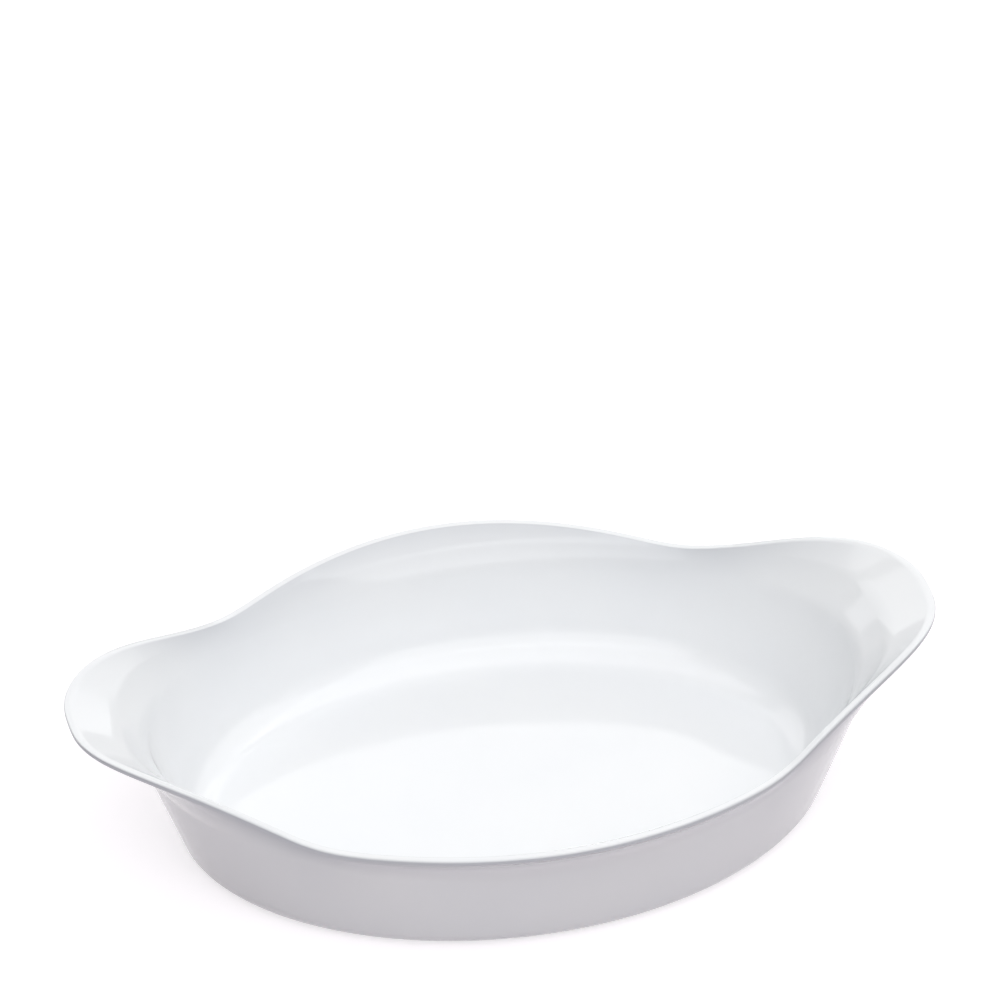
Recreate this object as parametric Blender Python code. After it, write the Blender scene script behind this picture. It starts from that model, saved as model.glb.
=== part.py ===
"""Oval oven dish, pressed in one piece from white opal glass, with a wing handle at each end.

Metres, +Z up, +X along the dish. The origin is the centre of the foot, on the table.
The glass is one closed body. It is lofted through vertical sections that stand square
to the body oval, one section for each step around the dish. A section is drawn with
sharp corners first, and each corner is then rounded to its own radius.
"""

import math

import bmesh
import bpy

MM = 0.001

# Overall sizes of the finished dish
LENGTH = 320 * MM  # wing tip to wing tip
WIDTH = 200 * MM  # over the rims of the two long sides
SIDE_HEIGHT = 52.5 * MM  # table to rim, in the middle of a long side
WING_HEIGHT = 66.5 * MM  # table to the top of a wing

# Outer face of the wall, as two ellipses: at the fold, where the rim starts to flare, and at the table
BODY_LENGTH = 265.5 * MM
BODY_WIDTH = 180 * MM
FOLD_BELOW_RIM = 11 * MM  # the fold lies this far below the side rim
FOOT_LENGTH = 235 * MM
FOOT_WIDTH = 166.5 * MM

# Flare of the rim: it dies out towards the four waists between sides and wings
WAIST_REACH = 1.7 * MM  # out from the fold to the rim, at the waists
WING_FULL = math.radians(4)  # the wing keeps its full reach this far round from its tip
WING_SPREAD = math.radians(56)  # and has died out this far round
SIDE_SPREAD = math.radians(32.5)  # a side flare dies out this far round from its middle
WING_FOLD_RISE = 3 * MM  # the fold climbs the wall by this much under a wing

# Height of the rim, seen from the front: a slack arc along the side, then a lift into the wing
SIDE_ARC_RADIUS = 650 * MM
LIFT_FOOT_BELOW_SIDE = 7.4 * MM  # the lift starts this far below the middle of the side rim
LIFT_LENGTH = 86 * MM  # along X, from the foot of the lift to its top
LIFT_TOP_FROM_TIP = 7.5 * MM  # the last stretch before the tip is level
WAIST_SOFTNESS = 4 * MM  # rounds the dip where the arc meets the lift

# Glass thickness
WALL = 4 * MM
FLOOR = 5 * MM  # inside floor above the table
RIM_TOP = 2.5 * MM  # level top of the rim, between its two corners
RIM_EDGE = 2.9 * MM  # upright outer face of the rim, between its two corners

# Roundings
RIM_RADIUS = 1.3 * MM  # outer corner of the rim, fire polished
RIM_UNDER_RADIUS = 1.2 * MM
RIM_INNER_RADIUS = 0.5 * MM  # crisper, where the rim's top meets the inner face
WING_FOLD_RADIUS = 22 * MM  # outside, from the wall into a wing
SIDE_FOLD_RADIUS = 25 * MM  # outside, from the wall into the flare of a side
COVE_RADIUS = 14 * MM  # inside, from wall to floor
CORNER_RADIUS = 8 * MM  # outside, from wall to foot
FOOT_RING = 7 * MM  # width of the flat ring that stands on the table
RECESS = 0.8 * MM  # the underside inside the ring is this much higher
RECESS_SLOPE = 2.5 * MM
FREE_RUN = 0.1  # the least share of a straight that the roundings at its two ends leave

# Fineness of the mesh
SECTIONS = 120
CORNER_STEPS = 5
FOLD_STEPS = 6
RIM_STEPS = 3
COVE_STEPS = 6

FOLD_HEIGHT = SIDE_HEIGHT - FOLD_BELOW_RIM
WING_REACH = (LENGTH - BODY_LENGTH) / 2
SIDE_REACH = (WIDTH - BODY_WIDTH) / 2
END_INSET = (BODY_LENGTH - FOOT_LENGTH) / 2
SIDE_INSET = (BODY_WIDTH - FOOT_WIDTH) / 2


def body_oval(turn):
    """Point of the body's ellipse at the fold, in plan, and the unit vector square to it."""
    along, across = BODY_LENGTH / 2, BODY_WIDTH / 2
    point = along * math.cos(turn), across * math.sin(turn)
    normal = across * math.cos(turn), along * math.sin(turn)
    size = math.hypot(*normal)
    return point, (normal[0] / size, normal[1] / size)


def smooth_step(share):
    """0 up to share 0 and 1 from share 1, with a smooth climb between."""
    share = min(max(share, 0), 1)
    return share * share * (3 - 2 * share)


def smooth_max(first, second, softness):
    """The larger value, rounded where the two cross within the softness."""
    near = max(1 - abs(first - second) / softness, 0)
    return max(first, second) + softness * near**3 / 6


def wing_share(outward):
    """1 at a wing tip, falling smoothly to 0 where the wing ends."""
    from_tip = math.atan2(abs(outward[1]), abs(outward[0]))
    return smooth_step((WING_SPREAD - from_tip) / (WING_SPREAD - WING_FULL))


def side_share(outward):
    """1 in the middle of a side, falling smoothly to 0 where the flare ends."""
    from_side = math.atan2(abs(outward[0]), abs(outward[1]))
    return smooth_step(1 - from_side / SIDE_SPREAD)


def rim_height(x):
    """Top of the rim above the table: the higher of the side arc and the wing lift, blended."""
    side = SIDE_HEIGHT - x * x / (2 * SIDE_ARC_RADIUS)
    lift_top = LENGTH / 2 - LIFT_TOP_FROM_TIP
    low = SIDE_HEIGHT - LIFT_FOOT_BELOW_SIDE
    lift = smooth_step((abs(x) - lift_top + LIFT_LENGTH) / LIFT_LENGTH)
    return smooth_max(side, low + (WING_HEIGHT - low) * lift, WAIST_SOFTNESS)


def section_corners(turn):
    """Corners of the glass at one turn, from the recess below, round the rim, to the floor.

    Each is (out, up, radius, steps). Out is measured from the fold oval, along its outward normal.
    """
    (x, y), outward = body_oval(turn)
    end_share = math.cos(turn) ** 2
    wing = wing_share(outward)

    # Wall: it leans out evenly from the foot to the fold, which rises up the wall under a wing
    lean = (END_INSET * end_share + SIDE_INSET * (1 - end_share)) / FOLD_HEIGHT
    foot_out = -lean * FOLD_HEIGHT
    fold_up = FOLD_HEIGHT + WING_FOLD_RISE * wing
    fold_out = lean * WING_FOLD_RISE * wing
    fold_radius = WING_FOLD_RADIUS * end_share + SIDE_FOLD_RADIUS * (1 - end_share)

    # Rim: how far out and how high its outer top corner stands
    reach = WAIST_REACH + (WING_REACH - WAIST_REACH) * wing
    reach += (SIDE_REACH - WAIST_REACH) * side_share(outward)
    top = rim_height(x + reach * outward[0])

    # Inner face: the fold moves in by the wall's thickness, square to the middle of the bend
    wall_angle = math.atan2(1, lean)
    flare_angle = math.atan2(top - RIM_EDGE - fold_up, reach - fold_out)
    middle = (wall_angle + flare_angle) / 2
    set_in = WALL / math.cos((wall_angle - flare_angle) / 2)
    cove_out = foot_out + lean * FLOOR - WALL / math.sin(wall_angle)

    ring_inside = foot_out - CORNER_RADIUS * math.tan(wall_angle / 2) - FOOT_RING
    return [
        (ring_inside - RECESS_SLOPE, RECESS, 0, 0),
        (ring_inside, 0, 0, 0),
        (foot_out, 0, CORNER_RADIUS, CORNER_STEPS),
        (fold_out, fold_up, fold_radius, FOLD_STEPS),
        (reach, top - RIM_EDGE, RIM_UNDER_RADIUS, RIM_STEPS),
        (reach, top, RIM_RADIUS, RIM_STEPS),
        (reach - RIM_TOP, top, RIM_INNER_RADIUS, RIM_STEPS),
        (
            fold_out - set_in * math.sin(middle),
            fold_up + set_in * math.cos(middle),
            fold_radius + WALL,
            FOLD_STEPS,
        ),
        (cove_out, FLOOR, COVE_RADIUS, COVE_STEPS),
    ]


def room(run, radius, other_radius):
    """How much of a straight run the rounding at one end may take from the one at the other."""
    return (1 - FREE_RUN) * run * radius / (radius + other_radius)


def section(turn):
    """Outline of the glass at one turn: its corners, each rounded to its radius."""
    corners = section_corners(turn)
    outline = []
    for index, (out, up, radius, steps) in enumerate(corners):
        if steps == 0:
            outline.append((out, up))
            continue
        before = corners[index - 1]
        after = corners[index + 1] if index + 1 < len(corners) else (out - LENGTH, up, 0, 0)
        run_in = math.hypot(out - before[0], up - before[1])
        run_out = math.hypot(after[0] - out, after[1] - up)
        way_in = (out - before[0]) / run_in, (up - before[1]) / run_in
        way_out = (after[0] - out) / run_out, (after[1] - up) / run_out
        half_turn = math.acos(min(way_in[0] * way_out[0] + way_in[1] * way_out[1], 1)) / 2
        longest = min(room(run_in, radius, before[2]), room(run_out, radius, after[2]))
        tangent = min(radius * math.tan(half_turn), longest)
        start = out - tangent * way_in[0], up - tangent * way_in[1]
        end = out + tangent * way_out[0], up + tangent * way_out[1]
        for step in range(steps + 1):
            share = step / steps
            pull = 2 * share * (1 - share) * math.cos(half_turn)
            weights = (1 - share) ** 2, pull, share**2
            total = sum(weights)
            outline.append(
                tuple(
                    (weights[0] * start[axis] + pull * (out, up)[axis] + weights[2] * end[axis]) / total
                    for axis in (0, 1)
                )
            )
    return outline


def build_dish():
    """Loft the sections into one closed body, with a point at each end of the loft."""
    mesh = bmesh.new()
    columns = []
    for index in range(SECTIONS):
        turn = 2 * math.pi * index / SECTIONS
        (x, y), outward = body_oval(turn)
        points = [(x + out * outward[0], y + out * outward[1], up) for out, up in section(turn)]
        columns.append([mesh.verts.new(point) for point in points])
    below = mesh.verts.new((0, 0, RECESS))
    above = mesh.verts.new((0, 0, FLOOR))
    for column, following in zip(columns, columns[1:] + columns[:1]):
        mesh.faces.new((below, following[0], column[0]))
        for row in range(len(column) - 1):
            mesh.faces.new((column[row], following[row], following[row + 1], column[row + 1]))
        mesh.faces.new((column[-1], following[-1], above))
    data = bpy.data.meshes.new("dish")
    mesh.to_mesh(data)
    mesh.free()
    data.shade_smooth()
    data.set_sharp_from_angle(angle=math.radians(40))
    dish = bpy.data.objects.new("dish", data)
    bpy.context.scene.collection.objects.link(dish)
    return dish


def opal_glass():
    """White opal glass with a fire-polished gloss."""
    material = bpy.data.materials.new("opal_glass")
    material.use_nodes = True
    shader = material.node_tree.nodes["Principled BSDF"]
    shader.inputs["Base Color"].default_value = (0.87, 0.88, 0.89, 1)
    shader.inputs["Metallic"].default_value = 0
    shader.inputs["Roughness"].default_value = 0.06
    shader.inputs["IOR"].default_value = 1.5
    return material


for leftover in list(bpy.data.objects):
    bpy.data.objects.remove(leftover)
build_dish().data.materials.append(opal_glass())
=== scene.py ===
"""Oval oven dish, pressed in one piece from white opal glass, with a wing handle at each end."""

import math

import bpy
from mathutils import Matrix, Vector


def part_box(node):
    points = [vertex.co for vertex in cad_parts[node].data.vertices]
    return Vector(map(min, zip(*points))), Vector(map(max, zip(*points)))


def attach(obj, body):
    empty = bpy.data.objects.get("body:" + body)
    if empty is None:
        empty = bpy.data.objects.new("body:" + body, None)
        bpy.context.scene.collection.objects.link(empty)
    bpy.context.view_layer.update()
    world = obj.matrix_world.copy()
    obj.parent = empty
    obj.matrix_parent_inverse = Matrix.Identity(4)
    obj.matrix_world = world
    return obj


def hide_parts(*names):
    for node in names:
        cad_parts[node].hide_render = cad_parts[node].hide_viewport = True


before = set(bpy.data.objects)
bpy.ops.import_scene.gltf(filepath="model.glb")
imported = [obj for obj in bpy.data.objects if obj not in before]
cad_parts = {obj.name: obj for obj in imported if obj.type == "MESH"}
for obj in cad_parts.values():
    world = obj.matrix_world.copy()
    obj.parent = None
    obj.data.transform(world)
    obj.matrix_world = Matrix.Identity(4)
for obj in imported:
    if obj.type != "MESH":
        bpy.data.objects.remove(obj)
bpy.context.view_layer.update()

# The dish: one gob of molten opal glass, pressed between mould and plunger into floor, wall, rim and
# both wings at once. It is drawn as sections square to the body's oval. A section has sharp corners
# first, and each corner is then rounded to its own radius.
MM = 0.001
low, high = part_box("dish")
LENGTH, WIDTH, WING_HEIGHT = high - low
BODY_LENGTH = 265.5 * MM  # the wall's outer face at the fold, where the rim starts to flare
BODY_WIDTH = 180 * MM
FOOT_LENGTH = 235 * MM
FOOT_WIDTH = 166.5 * MM
SIDE_HEIGHT = 52.5 * MM  # table to rim, in the middle of a long side
FOLD_BELOW_RIM = 11 * MM
SIDE_SPREAD = math.radians(32.5)  # a side flare dies out this far round from its middle
LIFT_TOP = LENGTH / 2 - 7.5 * MM  # the rim's lift into a wing ends here, short of the tip
LIFT_LENGTH = 86 * MM
LIFT_FOOT_BELOW_SIDE = 7.4 * MM
SIZES = {
    "Body length": BODY_LENGTH,
    "Body width": BODY_WIDTH,
    "End inset": (BODY_LENGTH - FOOT_LENGTH) / 2,
    "Side inset": (BODY_WIDTH - FOOT_WIDTH) / 2,
    "Fold height": SIDE_HEIGHT - FOLD_BELOW_RIM,
    "Wing fold rise": 4.5 * MM,  # the fold climbs the wall by this much under a wing
    "Waist reach": 1.7 * MM,  # out from the fold to the rim, at the waists beside the wings
    "Wing reach": (LENGTH - BODY_LENGTH) / 2,
    "Side reach": (WIDTH - BODY_WIDTH) / 2,
    "Wing full": math.radians(4),  # a wing keeps its full reach this far round from its tip
    "Wing spread": math.radians(56),  # and has died out this far round
    "Side flare start": math.pi / 2 - SIDE_SPREAD,
    "Side height": SIDE_HEIGHT,
    "Wing height": WING_HEIGHT,
    "Side arc radius": 650 * MM,  # of the side rim, seen from the front
    "Lift foot height": SIDE_HEIGHT - LIFT_FOOT_BELOW_SIDE,
    "Lift foot": LIFT_TOP - LIFT_LENGTH,
    "Lift top": LIFT_TOP,
    "Waist softness": 6.5 * MM,  # rounds the dip where the arc meets the lift
    "Wall": 4 * MM,
    "Floor": 5 * MM,  # inside floor above the table
    "Rim top": 2.5 * MM,
    "Rim edge": 2 * MM,
    "Foot ring": 7 * MM,
    "Recess": 0.8 * MM,  # the underside inside the foot ring is this much higher
    "Recess slope": 2.5 * MM,
    "Recess radius": 1.5 * MM,
    "Corner radius": 8 * MM,
    "Wing fold radius": 12 * MM,
    "Side fold radius": 25 * MM,
    "Wing bend place": 0.42,  # share of the way from fold to rim where the flare turns more level
    "Side bend place": 0.7,
    "Wing bend lift": 3.2 * MM,  # height of this bend over the straight line from fold to rim
    "Side bend lift": 0.1 * MM,
    "Wing bend radius": 18 * MM,
    "Side bend radius": 1 * MM,
    "Rim under radius": 1.4 * MM,
    "Rim radius": 1.1 * MM,
    "Rim inner radius": 0.6 * MM,
    "Wing rim inner radius": 5 * MM,
    "Cove radius": 14 * MM,
    # The next three set painted shade: the white is greyed towards the rim, where the light falls off under
    # and inside it
    "Painted shade outside": 16 * MM,  # painted shade reaches this far down the outer face from the rim
    "Painted shade inside": 19 * MM,
    "Inside painted shade": 0.72,  # painted shade just inside the rim of a side, beside 1 on the rim's outer edge
}
SECTIONS = 480  # around the dish
STEPS = 12  # along the rounding of each corner
FREE_RUN = 0.1  # the least share of a straight that the roundings at its two ends leave
BESIDE = 0.03  # share of a straight from its rounding to the first row beside it
LEVEL_RUN = 30 * MM  # from the innermost corners inwards, along the level floor
SAME_POINT = 0.001 * MM


def add(tree, kind, sockets=(), **settings):
    """Adds a node with its settings. A socket, by name or number, takes a value or another node."""
    node = tree.nodes.new(kind)
    for name, value in settings.items():
        setattr(node, name, value)
    for key, source in dict(sockets).items():
        if isinstance(source, bpy.types.Node):
            source = source.outputs[0]
        if isinstance(source, bpy.types.NodeSocket):
            tree.links.new(source, node.inputs[key])
        else:
            node.inputs[key].default_value = source
    return node


tree = bpy.data.node_groups.new("pressed_oval_dish", "GeometryNodeTree")
tree.interface.new_socket("Dish", in_out="OUTPUT", socket_type="NodeSocketGeometry")
for name in SIZES:
    tree.interface.new_socket(name, in_out="INPUT", socket_type="NodeSocketFloat")
tree.interface.new_socket("Glass", in_out="INPUT", socket_type="NodeSocketMaterial")
size = add(tree, "NodeGroupInput").outputs

# Body oval: its point at each turn around the dish, and the way square to it
turn = add(tree, "ShaderNodeSeparateXYZ", {0: add(tree, "GeometryNodeInputPosition")})
cos = add(tree, "ShaderNodeMath", {0: turn}, operation="COSINE")
sin = add(tree, "ShaderNodeMath", {0: turn}, operation="SINE")
circle = add(tree, "ShaderNodeCombineXYZ", {"X": cos, "Y": sin})
axes = add(tree, "ShaderNodeCombineXYZ", {"X": size["Body length"], "Y": size["Body width"]})
swapped = add(tree, "ShaderNodeCombineXYZ", {"X": size["Body width"], "Y": size["Body length"]})
doubled = add(tree, "ShaderNodeVectorMath", {0: circle, 1: axes}, operation="MULTIPLY")
oval = add(tree, "ShaderNodeVectorMath", {0: doubled, "Scale": 0.5}, operation="SCALE")
normal = add(tree, "ShaderNodeVectorMath", {0: circle, 1: swapped}, operation="MULTIPLY")
outward = add(tree, "ShaderNodeVectorMath", {0: normal}, operation="NORMALIZE")
quadrant = add(tree, "ShaderNodeVectorMath", {0: outward}, operation="ABSOLUTE")
quadrant = add(tree, "ShaderNodeSeparateXYZ", {0: quadrant})
from_tip = add(
    tree, "ShaderNodeMath", {0: quadrant.outputs["Y"], 1: quadrant.outputs["X"]}, operation="ARCTAN2")
end_share = add(tree, "ShaderNodeMath", {0: cos, 1: cos}, operation="MULTIPLY")

# Wall: it leans out evenly from the foot to the fold, which rises up the wall under a wing
inset = add(tree, "ShaderNodeMapRange", {
    "Value": end_share, "To Min": size["Side inset"], "To Max": size["End inset"]})
foot_out = add(tree, "ShaderNodeMath", {0: inset, 1: -1}, operation="MULTIPLY")
lean = add(tree, "ShaderNodeMath", {0: inset, 1: size["Fold height"]}, operation="DIVIDE")
slant = add(tree, "ShaderNodeMath", {0: lean, 1: lean, 2: 1}, operation="MULTIPLY_ADD")
slant = add(tree, "ShaderNodeMath", {0: slant}, operation="SQRT")
rise = add(tree, "ShaderNodeMapRange", {
    "Value": from_tip, "From Min": size["Wing spread"], "From Max": size["Wing full"],
    "To Max": size["Wing fold rise"]}, interpolation_type="SMOOTHSTEP")
fold_out = add(tree, "ShaderNodeMath", {0: lean, 1: rise}, operation="MULTIPLY")
fold_up = add(tree, "ShaderNodeMath", {0: size["Fold height"], 1: rise}, operation="ADD")
fold = add(tree, "ShaderNodeCombineXYZ", {"X": fold_out, "Z": fold_up})
fold_radius = add(tree, "ShaderNodeMapRange", {
    "Value": end_share, "To Min": size["Side fold radius"], "To Max": size["Wing fold radius"]})
inner_fold_radius = add(tree, "ShaderNodeMath", {0: fold_radius, 1: size["Wall"]}, operation="ADD")

# Rim: it flares out into the wings, and less along the sides, and it is the higher of a slack arc
# along the sides and a lift into the wings
side_gain = add(
    tree, "ShaderNodeMath", {0: size["Side reach"], 1: size["Waist reach"]}, operation="SUBTRACT")
side_flare = add(tree, "ShaderNodeMapRange", {
    "Value": from_tip, "From Min": size["Side flare start"], "From Max": math.pi / 2,
    "To Max": side_gain}, interpolation_type="SMOOTHSTEP")
wing_flare = add(tree, "ShaderNodeMapRange", {
    "Value": from_tip, "From Min": size["Wing spread"], "From Max": size["Wing full"],
    "To Min": size["Waist reach"], "To Max": size["Wing reach"]}, interpolation_type="SMOOTHSTEP")
reach = add(tree, "ShaderNodeMath", {0: side_flare, 1: wing_flare}, operation="ADD")
rim_plan = add(tree, "ShaderNodeVectorMath", {0: outward, 1: reach, 2: oval}, operation="MULTIPLY_ADD")
rim_plan = add(tree, "ShaderNodeSeparateXYZ", {0: rim_plan})
along = add(tree, "ShaderNodeMath", {0: rim_plan}, operation="ABSOLUTE")
sag = add(tree, "ShaderNodeMath", {0: along, 1: along}, operation="MULTIPLY")
sag = add(tree, "ShaderNodeMath", {0: sag, 1: size["Side arc radius"]}, operation="DIVIDE")
side_top = add(
    tree, "ShaderNodeMath", {0: sag, 1: -0.5, 2: size["Side height"]}, operation="MULTIPLY_ADD")
wing_top = add(tree, "ShaderNodeMapRange", {
    "Value": along, "From Min": size["Lift foot"], "From Max": size["Lift top"],
    "To Min": size["Lift foot height"], "To Max": size["Wing height"]}, interpolation_type="SMOOTHSTEP")
top = add(tree, "ShaderNodeMath", {
    0: side_top, 1: wing_top, 2: size["Waist softness"]}, operation="SMOOTH_MAX")
under_up = add(tree, "ShaderNodeMath", {0: top, 1: size["Rim edge"]}, operation="SUBTRACT")
inner_out = add(tree, "ShaderNodeMath", {0: reach, 1: size["Rim top"]}, operation="SUBTRACT")
rim_inner_radius = add(tree, "ShaderNodeMapRange", {
    "Value": from_tip, "From Min": size["Wing spread"], "From Max": size["Wing full"],
    "To Min": size["Rim inner radius"], "To Max": size["Wing rim inner radius"]},
    interpolation_type="SMOOTHSTEP")
rim_under = add(tree, "ShaderNodeCombineXYZ", {"X": reach, "Z": under_up})
rim_outer = add(tree, "ShaderNodeCombineXYZ", {"X": reach, "Z": top})
rim_inner = add(tree, "ShaderNodeCombineXYZ", {"X": inner_out, "Z": top})

# Inner face: the fold moves in by the wall's thickness, square to both of its straights
wall_way = add(tree, "ShaderNodeCombineXYZ", {"X": lean, "Z": 1})
wall_way = add(tree, "ShaderNodeVectorMath", {0: wall_way}, operation="NORMALIZE")
flare_way = add(tree, "ShaderNodeVectorMath", {0: rim_under, 1: fold}, operation="SUBTRACT")
flare_way = add(tree, "ShaderNodeVectorMath", {0: flare_way}, operation="NORMALIZE")
both_ways = add(tree, "ShaderNodeVectorMath", {0: wall_way, 1: flare_way}, operation="ADD")
inward = add(tree, "ShaderNodeVectorMath", {0: both_ways, 1: (0, 1, 0)}, operation="CROSS_PRODUCT")
bend = add(tree, "ShaderNodeVectorMath", {0: wall_way, 1: flare_way}, operation="DOT_PRODUCT")
bend = add(tree, "ShaderNodeMath", {0: bend.outputs["Value"], 1: 1}, operation="ADD")
set_in = add(tree, "ShaderNodeMath", {0: size["Wall"], 1: bend}, operation="DIVIDE")
fold_inner = add(tree, "ShaderNodeVectorMath", {0: inward, 1: set_in, 2: fold}, operation="MULTIPLY_ADD")
wall_foot = add(tree, "ShaderNodeMath", {0: lean, 1: size["Floor"], 2: foot_out}, operation="MULTIPLY_ADD")
wall_level = add(tree, "ShaderNodeMath", {0: size["Wall"], 1: slant}, operation="MULTIPLY")
cove_out = add(tree, "ShaderNodeMath", {0: wall_foot, 1: wall_level}, operation="SUBTRACT")
floor_out = add(tree, "ShaderNodeMath", {0: cove_out, 1: LEVEL_RUN}, operation="SUBTRACT")
cove = add(tree, "ShaderNodeCombineXYZ", {"X": cove_out, "Z": size["Floor"]})
floor_end = add(tree, "ShaderNodeCombineXYZ", {"X": floor_out, "Z": size["Floor"]})

# Bend in the flare: a wing climbs from its fold, then runs more level to its tip, on both faces
bend_place, bend_lift, bend_radius = [
    add(tree, "ShaderNodeMapRange", {
        "Value": from_tip, "From Min": size["Wing spread"], "From Max": size["Wing full"],
        "To Min": size["Side bend " + trait], "To Max": size["Wing bend " + trait]},
        interpolation_type="SMOOTHSTEP")
    for trait in ("place", "lift", "radius")]
bend_up = add(tree, "ShaderNodeCombineXYZ", {"Z": bend_lift})
bends = []
for start, end in ((fold, rim_under), (fold_inner, rim_inner)):
    span = add(tree, "ShaderNodeVectorMath", {0: end, 1: start}, operation="SUBTRACT")
    at_bend = add(
        tree, "ShaderNodeVectorMath", {0: span, 1: bend_place, 2: start}, operation="MULTIPLY_ADD")
    bends.append(add(tree, "ShaderNodeVectorMath", {0: at_bend, 1: bend_up}, operation="ADD"))
bend_outer, bend_inner = bends

# Foot: a flat ring inside the corner's rounding, then a slope up to the recess
half_corner = add(tree, "ShaderNodeMath", {0: lean, 1: slant}, operation="SUBTRACT")
ring_outer = add(tree, "ShaderNodeMath", {
    0: half_corner, 1: size["Corner radius"], 2: foot_out}, operation="MULTIPLY_ADD")
ring_out = add(tree, "ShaderNodeMath", {0: ring_outer, 1: size["Foot ring"]}, operation="SUBTRACT")
recess_out = add(tree, "ShaderNodeMath", {0: ring_out, 1: size["Recess slope"]}, operation="SUBTRACT")
below_out = add(tree, "ShaderNodeMath", {0: recess_out, 1: LEVEL_RUN}, operation="SUBTRACT")
foot = add(tree, "ShaderNodeCombineXYZ", {"X": foot_out})
ring = add(tree, "ShaderNodeCombineXYZ", {"X": ring_out})
recess = add(tree, "ShaderNodeCombineXYZ", {"X": recess_out, "Z": size["Recess"]})
below_end = add(tree, "ShaderNodeCombineXYZ", {"X": below_out, "Z": size["Recess"]})

# Cage: the sharp corners of every section, with the radius of each
corners = [
    (below_end, 0),
    (recess, size["Recess radius"]),
    (ring, size["Recess radius"]),
    (foot, size["Corner radius"]),
    (fold, fold_radius),
    (bend_outer, bend_radius),
    (rim_under, size["Rim under radius"]),
    (rim_outer, size["Rim radius"]),
    (rim_inner, rim_inner_radius),
    (bend_inner, bend_radius),
    (fold_inner, inner_fold_radius),
    (cove, size["Cove radius"]),
    (floor_end, 0),
]
rim_inner_at = [corner for corner, radius in corners].index(rim_inner) - 1  # among the rounded ones
cage_row = add(tree, "FunctionNodeIntegerMath", {
    0: add(tree, "GeometryNodeInputIndex"), 1: len(corners)}, operation="MODULO")
corner_at = add(tree, "GeometryNodeIndexSwitch", data_type="VECTOR")
radius_at = add(tree, "GeometryNodeIndexSwitch", data_type="FLOAT")
for switch in (corner_at, radius_at):
    tree.links.new(cage_row.outputs[0], switch.inputs["Index"])
    while len(switch.index_switch_items) < len(corners):
        switch.index_switch_items.new()
for row, (corner, radius) in enumerate(corners):
    tree.links.new(corner.outputs[0], corner_at.inputs[row + 1])
    if radius:
        tree.links.new(radius if isinstance(radius, bpy.types.NodeSocket) else radius.outputs[0],
                       radius_at.inputs[row + 1])
corner_parts = add(tree, "ShaderNodeSeparateXYZ", {0: corner_at})
corner_plan = add(tree, "ShaderNodeVectorMath", {
    0: outward, 1: corner_parts.outputs["X"], 2: oval}, operation="MULTIPLY_ADD")
corner_height = add(tree, "ShaderNodeCombineXYZ", {"Z": corner_parts.outputs["Z"]})
corner_place = add(tree, "ShaderNodeVectorMath", {0: corner_plan, 1: corner_height}, operation="ADD")
cage_grid = add(tree, "GeometryNodeMeshGrid", {
    "Size X": 2 * math.pi, "Vertices X": SECTIONS + 1, "Vertices Y": len(corners)})
cage_radii = add(tree, "GeometryNodeStoreNamedAttribute", {
    "Geometry": cage_grid, "Name": "radius", "Value": radius_at}, data_type="FLOAT", domain="POINT")
cage = add(tree, "GeometryNodeSetPosition", {"Geometry": cage_radii, "Position": corner_place})
cage_radius = add(tree, "GeometryNodeInputNamedAttribute", {"Name": "radius"}, data_type="FLOAT")

# Skin: a fine grid over the cage, with a row at each step of each rounding and one beside it on
# either straight. Its first and last rows close the underside and the floor in their middles.
CORNER_ROWS = STEPS + 3
ROWS = (len(corners) - 2) * CORNER_ROWS + 2
index = add(tree, "GeometryNodeInputIndex")
column = add(tree, "FunctionNodeIntegerMath", {0: index, 1: ROWS}, operation="DIVIDE_FLOOR")
row = add(tree, "FunctionNodeIntegerMath", {0: index, 1: ROWS}, operation="MODULO")
row_inside = add(tree, "FunctionNodeIntegerMath", {0: row, 1: 1}, operation="SUBTRACT")
rounding = add(
    tree, "FunctionNodeIntegerMath", {0: row_inside, 1: CORNER_ROWS}, operation="DIVIDE_FLOOR")
rounding = add(tree, "FunctionNodeIntegerMath", {0: rounding, 1: 0}, operation="MAXIMUM")
rounding = add(tree, "FunctionNodeIntegerMath", {0: rounding, 1: len(corners) - 3}, operation="MINIMUM")
rows_before = add(tree, "FunctionNodeIntegerMath", {0: rounding, 1: CORNER_ROWS}, operation="MULTIPLY")
step = add(tree, "FunctionNodeIntegerMath", {0: row_inside, 1: rows_before}, operation="SUBTRACT")
step = add(tree, "FunctionNodeIntegerMath", {0: step, 1: 1}, operation="SUBTRACT")
share = add(tree, "ShaderNodeMath", {0: step, 1: STEPS}, operation="DIVIDE", use_clamp=True)
before_arc = add(tree, "ShaderNodeMath", {0: step, 1: 0}, operation="LESS_THAN")
after_arc = add(tree, "ShaderNodeMath", {0: step, 1: STEPS}, operation="GREATER_THAN")

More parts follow.
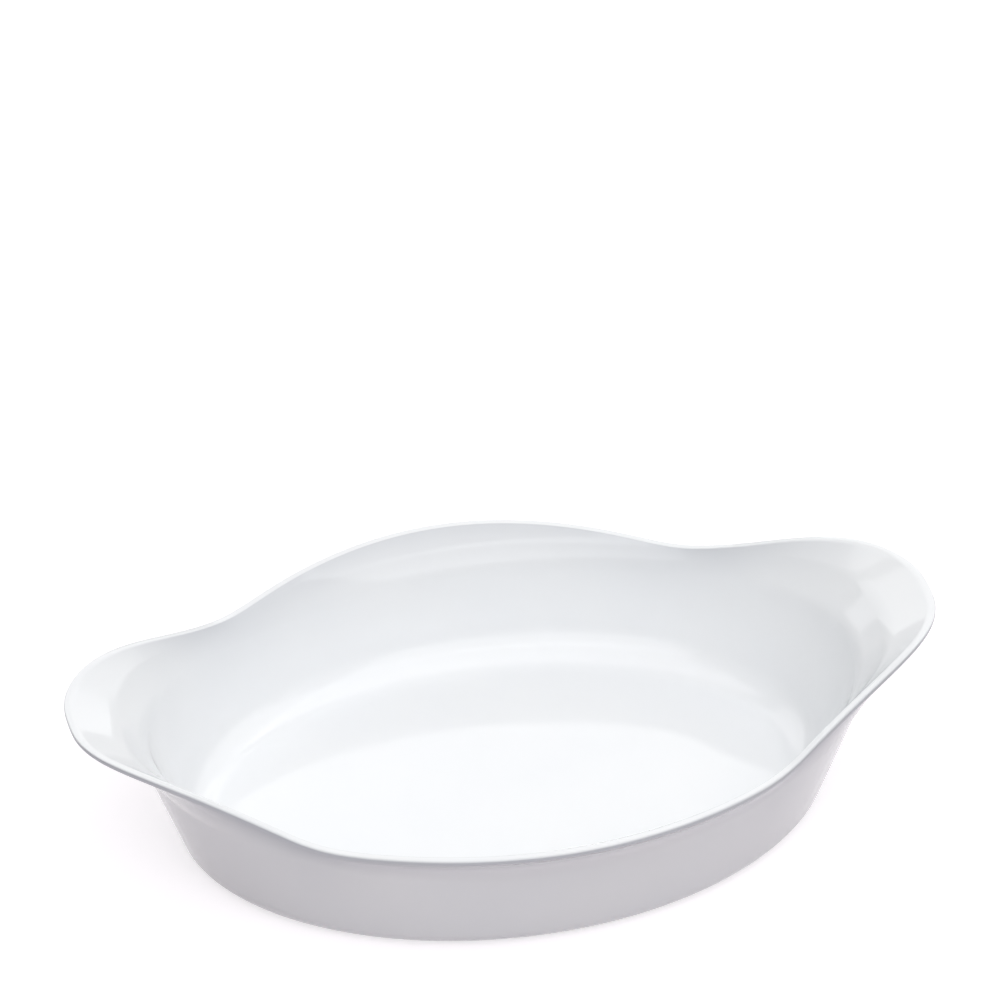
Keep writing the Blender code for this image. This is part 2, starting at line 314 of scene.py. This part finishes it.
# Each rounding: its corner and both neighbours on the cage, and how far it may take from each straight
first = add(tree, "FunctionNodeIntegerMath", {
    0: column, 1: len(corners), 2: rounding}, operation="MULTIPLY_ADD")
place, radius = [], []
for ahead in range(3):
    cage_index = add(tree, "FunctionNodeIntegerMath", {0: first, 1: ahead}, operation="ADD")
    place.append(add(tree, "GeometryNodeSampleIndex", {
        "Geometry": cage, "Value": add(tree, "GeometryNodeInputPosition"), "Index": cage_index},
        data_type="FLOAT_VECTOR", domain="POINT"))
    radius.append(add(tree, "GeometryNodeSampleIndex", {
        "Geometry": cage, "Value": cage_radius, "Index": cage_index}, data_type="FLOAT", domain="POINT"))
way, run_length, allowed = [], [], []
for start, end, other in ((0, 1, 0), (1, 2, 2)):
    run = add(tree, "ShaderNodeVectorMath", {0: place[end], 1: place[start]}, operation="SUBTRACT")
    way.append(add(tree, "ShaderNodeVectorMath", {0: run}, operation="NORMALIZE"))
    length = add(tree, "ShaderNodeVectorMath", {0: run}, operation="LENGTH").outputs["Value"]
    run_length.append(length)
    radii = add(tree, "ShaderNodeMath", {0: radius[1], 1: radius[other]}, operation="ADD")
    own_part = add(tree, "ShaderNodeMath", {0: radius[1], 1: radii}, operation="DIVIDE")
    own_part = add(tree, "ShaderNodeMath", {0: own_part, 1: 1 - FREE_RUN}, operation="MULTIPLY")
    allowed.append(add(tree, "ShaderNodeMath", {0: length, 1: own_part}, operation="MULTIPLY"))
turned = add(tree, "ShaderNodeVectorMath", {0: way[0], 1: way[1]}, operation="DOT_PRODUCT").outputs["Value"]
straight = add(tree, "ShaderNodeMath", {0: turned, 1: 1}, operation="ADD")
bent = add(tree, "ShaderNodeMath", {0: 1, 1: turned}, operation="SUBTRACT")
half_cos = add(tree, "ShaderNodeMath", {0: straight, 1: 0.5}, operation="MULTIPLY")
half_cos = add(tree, "ShaderNodeMath", {0: half_cos}, operation="SQRT")
half_tan = add(tree, "ShaderNodeMath", {0: bent, 1: straight}, operation="DIVIDE")
half_tan = add(tree, "ShaderNodeMath", {0: half_tan}, operation="SQRT")
tangent = add(tree, "ShaderNodeMath", {0: radius[1], 1: half_tan}, operation="MULTIPLY")
for limit in allowed:
    tangent = add(tree, "ShaderNodeMath", {0: tangent, 1: limit}, operation="MINIMUM")

# Each rounding is a true arc: the corner and its two tangent points, blended by these weights
rest = add(tree, "ShaderNodeMath", {0: 1, 1: share}, operation="SUBTRACT")
from_start = add(tree, "ShaderNodeMath", {0: rest, 1: rest}, operation="MULTIPLY")
from_end = add(tree, "ShaderNodeMath", {0: share, 1: share}, operation="MULTIPLY")
from_corner = add(tree, "ShaderNodeMath", {0: rest, 1: share}, operation="MULTIPLY")
from_corner = add(tree, "ShaderNodeMath", {0: from_corner, 1: half_cos}, operation="MULTIPLY")
weights = add(tree, "ShaderNodeMath", {0: from_corner, 1: 2, 2: from_start}, operation="MULTIPLY_ADD")
weights = add(tree, "ShaderNodeMath", {0: weights, 1: from_end}, operation="ADD")
unit = add(tree, "ShaderNodeMath", {0: tangent, 1: weights}, operation="DIVIDE")
skin_place = place[1]
for side, weight, beside, sign in ((0, from_start, before_arc, -1), (1, from_end, after_arc, 1)):
    beyond = add(tree, "ShaderNodeMath", {0: beside, 1: run_length[side]}, operation="MULTIPLY")
    beyond = add(tree, "ShaderNodeMath", {0: beyond, 1: BESIDE}, operation="MULTIPLY")
    distance = add(tree, "ShaderNodeMath", {0: unit, 1: weight, 2: beyond}, operation="MULTIPLY_ADD")
    distance = add(tree, "ShaderNodeMath", {0: distance, 1: sign}, operation="MULTIPLY")
    skin_place = add(
        tree, "ShaderNodeVectorMath", {0: way[side], 1: distance, 2: skin_place}, operation="MULTIPLY_ADD")
open_row = add(tree, "ShaderNodeMath", {
    0: row, 1: (ROWS - 1) / 2, 2: ROWS / 2 - 1}, operation="COMPARE")
closing = add(tree, "ShaderNodeCombineXYZ", {"X": open_row, "Y": open_row, "Z": 1})
skin_place = add(tree, "ShaderNodeVectorMath", {0: skin_place, 1: closing}, operation="MULTIPLY")

# Painted shade, which greys the white towards the rim where the light falls off: full at the rim's outer
# edge and fading down the outer face, none on the rim's level top. The inner face has less, which fades
# further down, and the wing tips have none there.
depth = add(tree, "ShaderNodeSeparateXYZ", {0: skin_place}).outputs["Z"]
depth = add(tree, "ShaderNodeMath", {0: top, 1: depth}, operation="SUBTRACT")
outer_painted_shade = add(tree, "ShaderNodeMapRange", {
    "Value": depth, "From Max": size["Painted shade outside"], "To Min": 1, "To Max": 0})
inner_most = add(tree, "ShaderNodeMapRange", {
    "Value": from_tip, "From Min": size["Wing spread"], "From Max": size["Wing full"],
    "To Min": size["Inside painted shade"], "To Max": 0}, interpolation_type="SMOOTHSTEP")
inner_painted_shade = add(tree, "ShaderNodeMapRange", {
    "Value": depth, "From Max": size["Painted shade inside"], "To Min": inner_most, "To Max": 0})
passed = add(tree, "ShaderNodeMath", {0: rounding, 1: share}, operation="ADD")
is_outer = add(tree, "ShaderNodeMath", {0: rim_inner_at, 1: passed}, operation="SUBTRACT", use_clamp=True)
is_inner = add(tree, "ShaderNodeMath", {0: passed, 1: rim_inner_at}, operation="SUBTRACT", use_clamp=True)
painted_rim_shade = add(tree, "ShaderNodeMath", {0: is_outer, 1: outer_painted_shade}, operation="MULTIPLY")
painted_rim_shade = add(
    tree, "ShaderNodeMath", {0: is_inner, 1: inner_painted_shade, 2: painted_rim_shade}, operation="MULTIPLY_ADD")

skin = add(tree, "GeometryNodeMeshGrid", {
    "Size X": 2 * math.pi, "Vertices X": SECTIONS + 1, "Vertices Y": ROWS})
# stores the painted shade share for the glass
skin = add(tree, "GeometryNodeStoreNamedAttribute", {
    "Geometry": skin, "Name": "painted_rim_shade", "Value": painted_rim_shade}, data_type="FLOAT", domain="POINT")
skin = add(tree, "GeometryNodeSetPosition", {"Geometry": skin, "Position": skin_place})
skin = add(tree, "GeometryNodeMergeByDistance", {"Geometry": skin, "Distance": SAME_POINT})
skin = add(tree, "GeometryNodeSetShadeSmooth", {"Geometry": skin})
skin = add(tree, "GeometryNodeRealizeInstances", {"Geometry": skin})
skin = add(tree, "GeometryNodeSetMaterial", {"Geometry": skin, "Material": size["Glass"]})
add(tree, "NodeGroupOutput", {"Dish": skin})


def linear(colour):
    """An sRGB hex colour such as #F2F3F5, as the linear colour that a shader takes."""
    shares = [int(colour[at:at + 2], 16) / 255 for at in (1, 3, 5)]
    return [s / 12.92 if s <= 0.04045 else ((s + 0.055) / 1.055) ** 2.4 for s in shares] + [1]


# White opal glass, fire polished: dense white through fine crystals in the melt, which lie a little
# denser in some places. Towards the rim the white is greyed by painted shade. The gloss is hard and
# wet, and the chill of the mould leaves it slightly wavy, with a finer unevenness.
CLOUD = 45 * MM  # across one of the whiter places
WAVE = 25 * MM
WAVE_HEIGHT = 0.08 * MM
GRAIN = 5 * MM
GRAIN_HEIGHT = 0.003 * MM
glass = bpy.data.materials.new("opal_glass_fire_polished")
glass.use_nodes = True
nodes = glass.node_tree
shader = nodes.nodes["Principled BSDF"]
shader.inputs["IOR"].default_value = 1.5
where = add(nodes, "ShaderNodeTexCoord")
cloud = add(nodes, "ShaderNodeTexNoise", {
    "Vector": where.outputs["Object"], "Scale": 1 / CLOUD, "Detail": 2})
white = add(nodes, "ShaderNodeMix", {
    "Factor": cloud, 6: linear("#F5F7FA"), 7: linear("#FAFBFC")}, data_type="RGBA")
# painted shade: this share greys the white towards the rim
rim_shade_attribute = add(nodes, "ShaderNodeAttribute", attribute_name="painted_rim_shade").outputs["Fac"]
at_rim = add(nodes, "ShaderNodeMath", {0: rim_shade_attribute, 1: rim_shade_attribute}, operation="MULTIPLY")
white_and_painted_shade = add(nodes, "ShaderNodeMix", {
    "Factor": at_rim, 6: white.outputs[2], 7: linear("#C6C9D0")}, data_type="RGBA")
sheen = add(nodes, "ShaderNodeMapRange", {"Value": cloud, "To Min": 0.04, "To Max": 0.12})
chill = add(nodes, "ShaderNodeTexNoise", {
    "Vector": where.outputs["Object"], "Scale": 1 / WAVE, "Detail": 0})
skin_grain = add(nodes, "ShaderNodeTexNoise", {
    "Vector": where.outputs["Object"], "Scale": 1 / GRAIN, "Detail": 0})
waves = add(nodes, "ShaderNodeBump", {"Height": chill, "Distance": WAVE_HEIGHT})
relief = add(nodes, "ShaderNodeBump", {
    "Height": skin_grain, "Distance": GRAIN_HEIGHT, "Normal": waves})
nodes.links.new(white_and_painted_shade.outputs[2], shader.inputs["Base Color"])
nodes.links.new(sheen.outputs[0], shader.inputs["Roughness"])
nodes.links.new(relief.outputs[0], shader.inputs["Normal"])

dish = bpy.data.objects.new("oval_dish", bpy.data.meshes.new("oval_dish"))
bpy.context.scene.collection.objects.link(dish)
pressing = dish.modifiers.new("pressing", "NODES")
pressing.node_group = tree
for item in tree.interface.items_tree:
    if item.in_out == "INPUT":
        pressing[item.identifier] = SIZES.get(item.name, glass)
depsgraph = bpy.context.evaluated_depsgraph_get()
pressed = bpy.data.meshes.new_from_object(
    dish.evaluated_get(depsgraph), preserve_all_data_layers=True, depsgraph=depsgraph)
dish.modifiers.remove(pressing)
dish.data = pressed
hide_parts("dish")
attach(dish, "root")

# The studio: a white table that runs on past the frame, under four soft boxes. The table keeps the
# dish's soft shadow, and both it and the room are white to the camera and in the gloss.
TABLE_REACH = 4
CLEAR = 0.2 * MM  # the table lies this far below the foot, so that the two never share a plane
GLOW = 0.6  # of white, which is 1: near the dish, where the boxes' light on the table adds the rest
GLOW_NEAR = 0.4  # from this far out the boxes' light fades and the glow grows
GLOW_FAR = 2  # from this far out the glow alone is white
table = bpy.data.objects.new("table", bpy.data.meshes.new("table"))
table.data.from_pydata(
    [(x * TABLE_REACH, y * TABLE_REACH, 0) for x, y in ((-1, -1), (1, -1), (1, 1), (-1, 1))],
    [], [(0, 1, 2, 3)])
table.location.z = -CLEAR
bpy.context.scene.collection.objects.link(table)
paper = bpy.data.materials.new("white_paper")
paper.use_nodes = True
table.data.materials.append(paper)
matt = paper.node_tree.nodes["Principled BSDF"]
matt.inputs["Base Color"].default_value = linear("#D8D2D7")
matt.inputs["Roughness"].default_value = 0.9
matt.inputs["Specular IOR Level"].default_value = 0

room = bpy.data.worlds.new("studio")
room.use_nodes = True
bpy.context.scene.world = room
white_room = room.node_tree.nodes["Background"]
white_room.inputs["Color"].default_value = linear("#FFFFFF")

# 1 to the camera and in what a glossy or clear face shows, 0 as light on anything
in_sight = []
for nodes in (paper.node_tree, room.node_tree):
    ray = add(nodes, "ShaderNodeLightPath").outputs
    seen = add(nodes, "ShaderNodeMath", {
        0: ray["Is Camera Ray"], 1: ray["Is Glossy Ray"]}, operation="MAXIMUM")
    in_sight.append(add(nodes, "ShaderNodeMath", {
        0: seen, 1: ray["Is Transmission Ray"]}, operation="MAXIMUM"))
table_in_sight, room_in_sight = in_sight
room.node_tree.links.new(room_in_sight.outputs[0], white_room.inputs["Strength"])

nodes = paper.node_tree
where = add(nodes, "ShaderNodeTexCoord")
far = add(nodes, "ShaderNodeVectorMath", {0: where.outputs["Object"]}, operation="LENGTH")
sweep = add(nodes, "ShaderNodeMapRange", {
    "Value": far.outputs["Value"], "From Min": GLOW_NEAR, "From Max": GLOW_FAR, "To Min": GLOW})
glow = add(nodes, "ShaderNodeMath", {0: table_in_sight, 1: sweep}, operation="MULTIPLY")
glow = add(nodes, "ShaderNodeEmission", {"Strength": glow})
both = add(nodes, "ShaderNodeAddShader", {0: matt, 1: glow})
nodes.links.new(both.outputs[0], nodes.nodes["Material Output"].inputs["Surface"])

# Each soft box: the way to it in degrees, round from +X and up from the table, how far off it stands,
# its width, its height and how bright its face is, where a white background is 1
middle = Vector((0, 0, 30 * MM))
for name, around, up, distance, width, height, bright in (
    ("box_overhead", 270, 82, 1.2, 1.7, 1.5, 1.22),
    ("box_behind", 92, 36, 1.4, 2.5, 0.9, 1.15),
    ("box_front", 260, 38, 1.4, 2.2, 1.1, 1.22),
    ("box_right", 8, 38, 1.4, 1.6, 1.1, 0.8),
):
    light = bpy.data.lights.new(name, "AREA")
    light.shape = "RECTANGLE"
    light.size = width
    light.size_y = height
    light.energy = math.pi * width * height * bright
    box = bpy.data.objects.new(name, light)
    level = math.cos(math.radians(up))
    way_out = Vector((
        level * math.cos(math.radians(around)), level * math.sin(math.radians(around)),
        math.sin(math.radians(up))))
    box.location = middle + way_out * distance
    box.rotation_euler = (-way_out).to_track_quat("-Z", "Y").to_euler()
    bpy.context.scene.collection.objects.link(box)

# A long lens at the photograph's view: from the front, a little left of the middle, 36 degrees down
lens = bpy.data.cameras.new("camera")
lens.lens = 323.52
lens.sensor_width = 36
lens.clip_end = 100
camera = bpy.data.objects.new("camera", lens)
camera.location = (-0.64912, -2.48180, 2.03077)
camera.rotation_euler = (math.radians(53.537), 0, math.radians(-14.634))
bpy.context.scene.collection.objects.link(camera)
bpy.context.scene.camera = camera
bpy.context.scene.view_settings.view_transform = "Standard"
